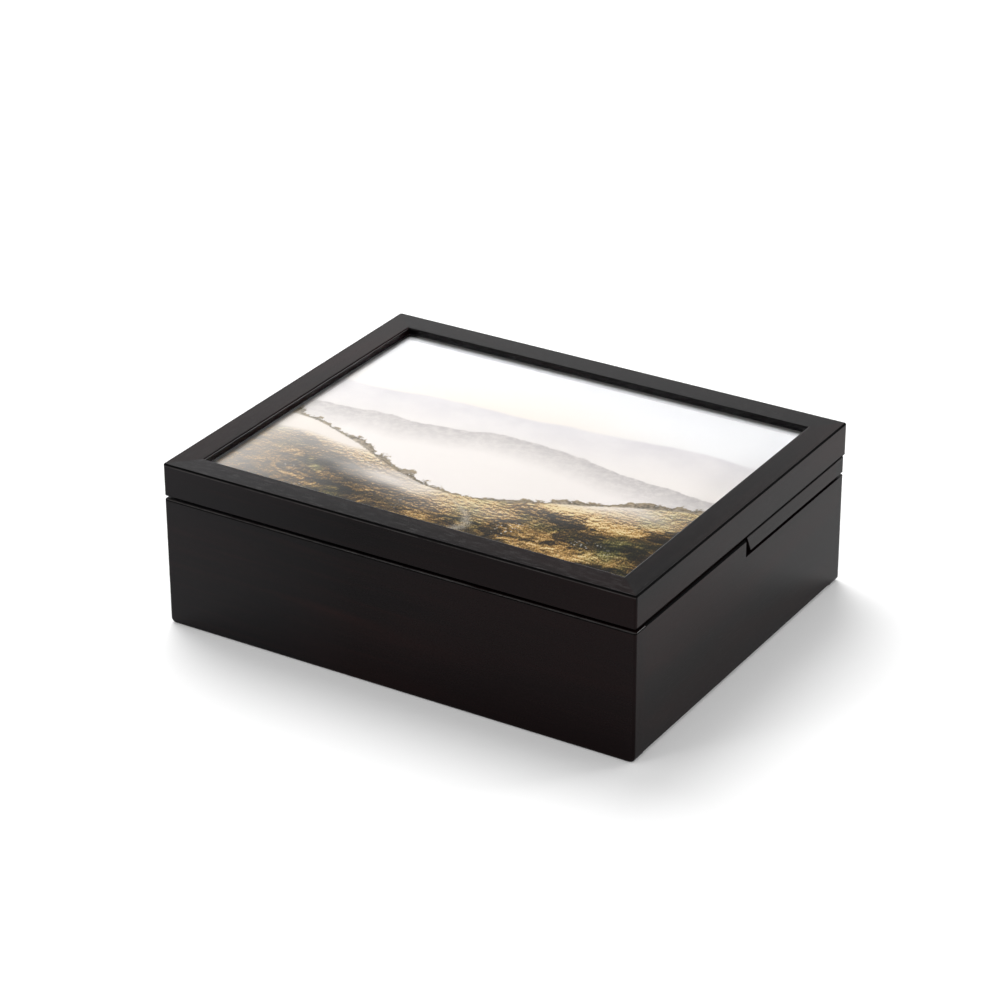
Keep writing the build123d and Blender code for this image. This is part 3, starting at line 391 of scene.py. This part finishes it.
def misty_meadow():
    """The print under the glass: hazy ridges, brush in the mist and a meadow with a path."""
    paper = MeadowPrint("picture_print")
    crest = meadow_crest(paper)
    near = crest - paper.up
    leaves = paper.noise(paper.flat, 85.0, 5.0, 0.75)
    woods = brush(paper, hazy_ridges(paper, hazy_sky(paper)), crest, leaves)

    blade_place = paper.vector(paper.across * 360.0 + paper.up * 110.0, paper.up * 75.0)
    blades = paper.noise(blade_place, 1.0, 3.0, 0.75)
    light = grass_light(paper, near, leaves, blades)
    tone = paper.add("ValToRGB", inputs={"Fac": light}, stops=(
        (0.0, (0.014, 0.010, 0.006)), (0.28, (0.062, 0.038, 0.013)), (0.48, (0.22, 0.130, 0.030)),
        (0.64, (0.50, 0.29, 0.065)), (0.80, (0.80, 0.56, 0.20)), (1.0, (0.97, 0.86, 0.56)))).outputs[0]
    green = paper.add("ValToRGB", inputs={"Fac": light}, stops=(
        (0.0, (0.010, 0.014, 0.005)), (0.25, (0.036, 0.048, 0.013)), (0.50, (0.140, 0.160, 0.038)),
        (0.70, (0.36, 0.37, 0.105)), (1.0, (0.84, 0.84, 0.52)))).outputs[0]
    turf = paper.mix(paper.noise(paper.flat, 4.5, 3.0, 0.6).step(0.50, 0.66) * 0.7, tone, green)
    turf = trodden_path(paper, near, blades, turf)
    turf = meadow_mist(paper, near, white_buds(paper, turf))
    fringe_place = paper.vector(paper.across * 260.0, paper.up * 50.0)
    fringe = 0.016 * paper.noise(fringe_place, 1.0, 3.0, 0.7)
    art = paper.mix((near + fringe).step(0.0, 0.007), woods, turf)

    inside_wide = (SHOWN_HALF_WIDE - abs(paper.x)).step(0.0, 0.0001)
    inside_high = (SHOWN_HALF_HIGH - abs(paper.y)).step(0.0, 0.0001)
    paper.set("Base Color", paper.mix(inside_wide * inside_high, PAPER_WHITE, art))
    return paper.material


def suede(name, tone):
    """Short brushed suede cloth: dark nap with lighter strokes."""
    cloth = Finish(name, specular_ior_level=0.2, sheen_weight=0.25, sheen_roughness=0.4)
    cloth.set("Sheen Tint", (0.5, 0.48, 0.5))
    strokes = cloth.noise(cloth.stretched((38.0, 16.0, 30.0)), 1.0, 3.0, 0.55, 1.2)
    nap = cloth.noise(cloth.place, 2400.0, 3.0, 0.7)
    light = [1.9 * part for part in tone]
    colour = cloth.mix(strokes.step(0.40, 0.66) * 0.55 + nap.step(0.3, 0.75) * 0.35, tone, light)
    cloth.set("Base Color", colour)
    cloth.set("Roughness", 0.86 + 0.1 * nap)
    cloth.bump(nap + 0.4 * strokes, 0.00018, 0.8)
    return cloth.material


def acrylic():
    """Clear plastic cover sheet, bloomed against glare, with a few hairline scuffs."""
    sheet = Finish("clear_acrylic", transmission_weight=1.0, ior=1.18)
    sheet.set("Base Color", (0.97, 0.985, 0.99))
    scuffs = sheet.noise(sheet.stretched((900.0, 40.0, 40.0), (0, 0, 0.6)), 1.0, 2.0, 0.6)
    sheet.set("Roughness", 0.01 + 0.05 * scuffs.step(0.66, 0.74))
    passing(sheet)
    return sheet.material


def board(name, tone, grain):
    """Black-stained panel board or card with a fine even texture."""
    panel = Finish(name, specular_ior_level=0.25)
    fibre = panel.noise(panel.stretched((40.0, 700.0, 700.0), grain), 1.0, 3.0, 0.6)
    specks = panel.noise(panel.place, 900.0, 2.0, 0.6)
    light = [1.8 * part for part in tone]
    panel.set("Base Color", panel.mix(fibre.step(0.35, 0.7) * 0.6 + specks * 0.3, tone, light))
    panel.set("Roughness", 0.62 + 0.15 * fibre)
    panel.bump(fibre + 0.4 * specks, 0.00006, 0.6)
    return panel.material


def metal(name, tone, rough, brushing, tarnish=0.25):
    """Bare metal with fine brush lines and uneven handling marks."""
    bare = Finish(name, metallic=1.0)
    lines = bare.noise(bare.stretched(brushing), 1.0, 3.0, 0.6)
    marks = bare.noise(bare.place, 160.0, 3.0, 0.6)
    dull = [part * (1.0 - tarnish) for part in tone]
    bare.set("Base Color", bare.mix(marks.step(0.35, 0.7), tone, dull))
    bare.set("Roughness", rough + 0.10 * lines + 0.10 * marks.step(0.45, 0.75))
    bare.bump(lines, 0.00001, 0.4)
    return bare.material


def cast_zinc():
    """Die-cast bedplate: fine orange-peel skin."""
    cast = Finish("cast_zinc", metallic=0.9)
    skin = cast.noise(cast.place, 1500.0, 3.0, 0.6)
    flow = cast.noise(cast.place, 90.0, 3.0, 0.6)
    cast.set("Base Color", cast.mix(flow.step(0.35, 0.7), (0.42, 0.42, 0.43), (0.33, 0.33, 0.335)))
    cast.set("Roughness", 0.42 + 0.16 * skin)
    cast.bump(skin + 0.3 * flow, 0.00004, 0.6)
    return cast.material


def moulded(name, tone, rough):
    """Moulded plastic or rubber with a faint skin texture."""
    plastic = Finish(name, specular_ior_level=0.4)
    skin = plastic.noise(plastic.place, 1800.0, 2.0, 0.5)
    clouds = plastic.noise(plastic.place, 120.0, 2.0, 0.5)
    dull = [part * 0.82 for part in tone]
    plastic.set("Base Color", plastic.mix(clouds, tone, dull))
    plastic.set("Roughness", rough + 0.12 * skin)
    plastic.bump(skin, 0.00003, 0.5)
    return plastic.material


def coat(name, material):
    """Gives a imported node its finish."""
    mesh = nodes[name].data
    mesh.materials.clear()
    mesh.materials.append(material)


# Painted shade along the wood's outer edge roundings and seams: each dark line's height and half its width
BASE_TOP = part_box("base_front_wall")[1].z
LID_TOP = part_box("lid_front_rail")[1].z
RAIL_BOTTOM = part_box("lid_front_rail")[0].z
BASE_SHADE = [(BASE_TOP - 0.0008, 0.0003)]
BASE_SIDE_SHADE = [(BASE_TOP - 0.0003, 0.0008)]
LID_SHADE = [(LID_TOP, 0.0007), (RAIL_BOTTOM - 0.0001, 0.0005)]
LID_SIDE_SHADE = [(LID_TOP, 0.0009), (RAIL_BOTTOM, 0.0008)]
# Heights of the painted highlight lines along the front edges of the base and the lid
BASE_PAINTED_HIGHLIGHT, LID_PAINTED_HIGHLIGHT = BASE_TOP - 0.0003, LID_TOP - 0.0010

wood_along = espresso_wood("espresso_wood_long", ALONG_X, (0.0, 0.0, 0.0), BASE_SHADE, BASE_PAINTED_HIGHLIGHT)
wood_across = espresso_wood("espresso_wood_short", ALONG_Y, (0.31, 0.17, 0.05), BASE_SIDE_SHADE)
lid_along = espresso_wood("espresso_lid_long", ALONG_X, (0.71, 0.43, 0.29), LID_SHADE, LID_PAINTED_HIGHLIGHT)
lid_across = espresso_wood("espresso_lid_short", ALONG_Y, (0.53, 0.37, 0.11), LID_SIDE_SHADE)
lining_suede = suede("lining_suede", (0.012, 0.011, 0.012))
cushion_suede = suede("cushion_suede", (0.014, 0.0125, 0.0135))
panel_board = board("panel_board", (0.014, 0.011, 0.010), ALONG_X)
backing_board = board("backing_board", (0.020, 0.018, 0.016), ALONG_X)
hinge_brass = metal("hinge_brass", (0.78, 0.58, 0.27), 0.24, (60.0, 1800.0, 1800.0))
movement_brass = metal("movement_brass", (0.66, 0.49, 0.22), 0.22, (1500.0, 60.0, 60.0), 0.15)
nickel_steel = metal("nickel_steel", (0.46, 0.455, 0.445), 0.32, (500.0, 500.0, 60.0), 0.12)
comb_steel = metal("comb_steel", (0.33, 0.33, 0.34), 0.34, (1800.0, 60.0, 60.0), 0.2)

finishes = {
    "base_front_wall": wood_along, "base_back_wall": wood_along,
    "base_left_wall": wood_across, "base_right_wall": wood_across,
    "lid_front_rail": lid_along, "lid_back_rail": lid_along, "strip_back": lid_along,
    "lid_left_rail": lid_across, "lid_right_rail": lid_across,
    "strip_left": lid_across, "strip_right": lid_across,
    "lid_glass": picture_glass(), "lid_picture": misty_meadow(), "lid_backing_board": backing_board,
    "bay_cover": acrylic(), "lid_bumpers": moulded("rubber_pad", (0.02, 0.02, 0.02), 0.6),
    "bottom_panel": panel_board, "bay_ledges": panel_board, "bay_cover_screws": hinge_brass,
    "movement_bedplate": cast_zinc(), "spring_barrel": nickel_steel, "mainspring": comb_steel,
    "winding_key": nickel_steel, "cylinder": movement_brass, "cylinder_arbor": movement_brass,
    "governor_wheel": movement_brass, "governor_fly": moulded("fly_plastic", (0.75, 0.74, 0.70), 0.45),
}
finishes["governor_frame"] = finishes["movement_bedplate"]

for name in nodes:
    if name in finishes:
        coat(name, finishes[name])
    elif "hinge" in name or "turn_button" in name:
        coat(name, hinge_brass)
    elif name.startswith("bay_") or any(word in name for word in ("lining", "divider", "roll", "lid_pad")):
        coat(name, lining_suede)
    else:
        coat(name, comb_steel)


# Soft pieces

MERGED = 0.00002
SMOOTH_BELOW = math.radians(50)


def copied(node, name):
    """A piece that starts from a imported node's shape, merged into one clean mesh."""
    mesh = nodes[node].data.copy()
    mesh.name = name
    piece = bpy.data.objects.new(name, mesh)
    bpy.context.scene.collection.objects.link(piece)
    pick(piece)
    bpy.ops.object.mode_set(mode="EDIT")
    bpy.ops.mesh.select_all(action="SELECT")
    bpy.ops.mesh.remove_doubles(threshold=MERGED)
    bpy.ops.mesh.normals_make_consistent(inside=False)
    bpy.ops.object.mode_set(mode="OBJECT")
    return piece


def pick(piece):
    """Makes one piece the only one selected."""
    bpy.ops.object.select_all(action="DESELECT")
    piece.select_set(True)
    bpy.context.view_layer.objects.active = piece


def modified(piece, kind, **settings):
    """Adds one modifier and applies it."""
    pick(piece)
    change = piece.modifiers.new(kind.lower(), kind)
    for name, value in settings.items():
        setattr(change, name, value)
    bpy.ops.object.modifier_apply(modifier=change.name)


def finished(piece, node, body, material):
    """Puts a soft piece in its node's place with its cloth."""
    piece.data.materials.clear()
    piece.data.materials.append(material)
    pick(piece)
    bpy.ops.object.shade_smooth_by_angle(angle=SMOOTH_BELOW)
    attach(piece, body)
    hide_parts(node)


FOAM_PRESSURE = 4.0
ROLL_FRAMES = 20
ROLL_VOXEL = 0.0016
ROLL_CAP = 0.0005
ROLL_BEFORE = (0.992, 0.93, 0.965)


def inflated(piece, frames, cap):
    """Blows cloth up from inside like foam under its cover, and holds every point near its start."""
    start = [vertex.co.copy() for vertex in piece.data.vertices]
    pick(piece)
    cloth = piece.modifiers.new("cloth", "CLOTH")
    cloth.settings.use_pressure = True
    cloth.settings.uniform_pressure_force = FOAM_PRESSURE
    cloth.settings.effector_weights.gravity = 0.0
    cloth.settings.quality = 6
    cloth.point_cache.frame_start = 1
    cloth.point_cache.frame_end = frames
    scene = bpy.context.scene
    for number in range(1, frames + 1):
        scene.frame_set(number)
    bpy.ops.object.modifier_apply(modifier="cloth")
    scene.frame_set(1)
    for vertex, rest in zip(piece.data.vertices, start):
        moved = vertex.co - rest
        if moved.length > cap:
            vertex.co = rest + moved.normalized() * cap


def ring_roll():
    """One foam roll under suede, simulated once and copied for the others."""
    roll = copied("ring_roll_1", "ring_cushion_1")
    low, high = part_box("ring_roll_1")
    middle = (low + high) / 2
    bpy.ops.object.mode_set(mode="EDIT")
    bpy.ops.mesh.select_all(action="SELECT")
    bpy.ops.transform.resize(value=ROLL_BEFORE, center_override=middle)
    bpy.ops.object.mode_set(mode="OBJECT")
    modified(roll, "REMESH", mode="VOXEL", voxel_size=ROLL_VOXEL)
    inflated(roll, ROLL_FRAMES, ROLL_CAP)
    modified(roll, "SUBSURF", levels=1, render_levels=1)
    return roll, low


def ring_rolls():
    """Four rolls side by side; rings are pushed into the slits between them."""
    first, place = ring_roll()
    rolls = {"ring_roll_1": first}
    for number in (2, 3, 4):
        node = "ring_roll_%d" % number
        roll = first.copy()
        roll.data = first.data.copy()
        roll.name = "ring_cushion_%d" % number
        bpy.context.scene.collection.objects.link(roll)
        roll.data.transform(Matrix.Translation(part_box(node)[0] - place))
        rolls[node] = roll
    for node, roll in rolls.items():
        finished(roll, node, "base", cushion_suede)


def lined_panel(node, name, rounding):
    """Card covered in suede: the cloth rolls over its edges."""
    panel = copied(node, name)
    bpy.ops.object.mode_set(mode="EDIT")
    bpy.ops.mesh.select_all(action="SELECT")
    bpy.ops.mesh.dissolve_limited(angle_limit=math.radians(2))
    bpy.ops.object.mode_set(mode="OBJECT")
    modified(panel, "BEVEL", width=rounding, segments=3, limit_method="ANGLE", angle_limit=SMOOTH_BELOW)
    modified(panel, "TRIANGULATE")
    finished(panel, node, "base", lining_suede)


CUSHION_CROWN = 0.0012
CUSHION_RUN = 0.012


def lid_cushion():
    """Thin padded panel inside the lid, crowned towards its middle."""
    low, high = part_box("lid_pad")
    middle = (low + high) / 2
    bpy.ops.object.select_all(action="DESELECT")
    bpy.ops.mesh.primitive_grid_add(x_subdivisions=64, y_subdivisions=52, size=1.0,
                                    location=(0.0, 0.0, high.z))
    pad = bpy.context.object
    pad.name = "lid_cushion"
    pad.scale = (high.x - low.x, high.y - low.y, 1.0)
    pad.location = (middle.x, middle.y, high.z)
    bpy.ops.object.transform_apply(location=True, rotation=True, scale=True)
    bpy.ops.object.mode_set(mode="EDIT")
    bpy.ops.mesh.select_all(action="SELECT")
    bpy.ops.mesh.extrude_region_move(TRANSFORM_OT_translate={"value": (0.0, 0.0, low.z - high.z)})
    bpy.ops.object.mode_set(mode="OBJECT")
    half_x, half_y = (high.x - low.x) / 2, (high.y - low.y) / 2
    for vertex in pad.data.vertices:
        if vertex.co.z > low.z + 0.0001:
            continue
        edge = min(half_x - abs(vertex.co.x - middle.x), half_y - abs(vertex.co.y - middle.y))
        vertex.co.z -= CUSHION_CROWN * (1 - math.exp(-edge / CUSHION_RUN))
    bpy.ops.object.mode_set(mode="EDIT")
    bpy.ops.mesh.select_all(action="SELECT")
    bpy.ops.mesh.normals_make_consistent(inside=False)
    bpy.ops.object.mode_set(mode="OBJECT")
    modified(pad, "BEVEL", width=0.0003, segments=2, limit_method="ANGLE", angle_limit=math.radians(60))
    finished(pad, "lid_pad", "lid", lining_suede)


ring_rolls()
lined_panel("floor_lining", "floor_felt", 0.0003)
lined_panel("front_lining", "front_felt", 0.0004)
lined_panel("back_lining", "back_felt", 0.0004)
lined_panel("side_linings", "side_felts", 0.0004)
lid_cushion()


# Studio

VIEW_PLACE = (0.70606, -1.15678, 0.73396)
VIEW_YAW, VIEW_PITCH, VIEW_ROLL = (math.radians(turn) for turn in (121.588, -26.833, -0.243))
LENS_MM, SENSOR_MM, SHIFT_X, SHIFT_Y = 124.02, 36.0, 0.0013, 0.0034
ROOM_LIGHT = 0.67
CARD_X, CARD_Y = -0.5, 0.87
CARD_LIGHT, CARD_AWAY, CARD_TOWARDS = 1.0, 0.50, 0.80
CEILING_DARK, CEILING_LOW, CEILING_HIGH = 0.95, 0.40, 0.47
KEY_PLACE, KEY_SIZE, KEY_WATTS = (-1.3, 1.1, 2.4), 2.2, 68.0
RIM_SIZE = 0.7
FRONT_RIM_PLACE, FRONT_RIM_WATTS = (-1.17, -1.93, 1.08), 8.0
REAR_RIM_PLACE, REAR_RIM_WATTS = (1.56, 1.90, 0.45), 20.0
LOW_ON_BOX, HIGH_ON_BOX = (0.0, 0.0, 0.03), (0.0, 0.0, 0.06)
FLOOR_SIZE, FLOOR_TONE, FLOOR_GLOW = 16.0, 0.90, 0.10


def camera():
    """The photograph's view: a long lens from the front right, looking down."""
    ahead = Vector((math.cos(VIEW_PITCH) * math.cos(VIEW_YAW), math.cos(VIEW_PITCH) * math.sin(VIEW_YAW),
                    math.sin(VIEW_PITCH)))
    right = Vector((math.sin(VIEW_YAW), -math.cos(VIEW_YAW), 0.0))
    above = right.cross(ahead)
    right, above = (math.cos(VIEW_ROLL) * right + math.sin(VIEW_ROLL) * above,
                    math.cos(VIEW_ROLL) * above - math.sin(VIEW_ROLL) * right)
    lens = bpy.data.cameras.new("camera")
    lens.lens = LENS_MM
    lens.sensor_width = SENSOR_MM
    lens.shift_x = SHIFT_X
    lens.shift_y = SHIFT_Y
    lens.clip_start = 0.05
    lens.clip_end = 60.0
    holder = bpy.data.objects.new("camera", lens)
    bpy.context.scene.collection.objects.link(holder)
    turn = Matrix((right, above, -ahead)).transposed().to_4x4()
    holder.matrix_world = Matrix.Translation(VIEW_PLACE) @ turn
    bpy.context.scene.camera = holder


def softbox(name, place, target, size, watts):
    """A round studio lamp that faces a point."""
    lamp = bpy.data.lights.new(name, "AREA")
    lamp.shape = "DISK"
    lamp.size = size
    lamp.energy = watts
    holder = bpy.data.objects.new(name, lamp)
    holder.location = place
    aim = Vector(target) - Vector(place)
    holder.rotation_euler = aim.to_track_quat("-Z", "Y").to_euler()
    bpy.context.scene.collection.objects.link(holder)


def studio():
    """A white room with a dark ceiling, a bright card, three lamps and a pale floor.

    Only reflections see the ceiling and the card, which stands behind the box, opposite the camera.
    """
    world = bpy.data.worlds.new("room")
    bpy.context.scene.world = world
    world.use_nodes = True
    room = Nodes(world.node_tree)
    sky = room.tree.nodes["Background"]
    ahead = room.add("SeparateXYZ", inputs={"Vector": room.add("TexCoord").outputs["Generated"]})
    x, y, z = [Value(room, out) for out in ahead.outputs]
    card = CARD_LIGHT * (CARD_X * x + CARD_Y * y).step(CARD_AWAY, CARD_TOWARDS)
    walls = (1 + card) * (1 - CEILING_DARK * z.step(CEILING_LOW, CEILING_HIGH))
    background = room.rays("Camera", "Transmission")
    mirrored = room.rays("Glossy")
    room.join(sky.inputs["Color"], (1.0, 1.0, 1.0))
    room.join(sky.inputs["Strength"],
              background + mirrored * walls + ROOM_LIGHT * (1 - background - mirrored))
    softbox("key", KEY_PLACE, LOW_ON_BOX, KEY_SIZE, KEY_WATTS)
    softbox("front_rim", FRONT_RIM_PLACE, HIGH_ON_BOX, RIM_SIZE, FRONT_RIM_WATTS)
    softbox("rear_rim", REAR_RIM_PLACE, HIGH_ON_BOX, RIM_SIZE, REAR_RIM_WATTS)
    bpy.ops.mesh.primitive_plane_add(size=FLOOR_SIZE, location=(0.0, 0.0, 0.0))
    floor = bpy.context.object
    floor.name = "floor"
    sweep = Finish("floor_paper", roughness=0.8, specular_ior_level=0.0)
    sweep.set("Base Color", (FLOOR_TONE, FLOOR_TONE, FLOOR_TONE))
    sweep.set("Emission Color", (1.0, 1.0, 1.0))
    sweep.set("Emission Strength", FLOOR_GLOW * sweep.rays("Camera", "Glossy", "Transmission"))
    floor.data.materials.append(sweep.material)
    bpy.context.scene.view_settings.view_transform = "Standard"


camera()
studio()
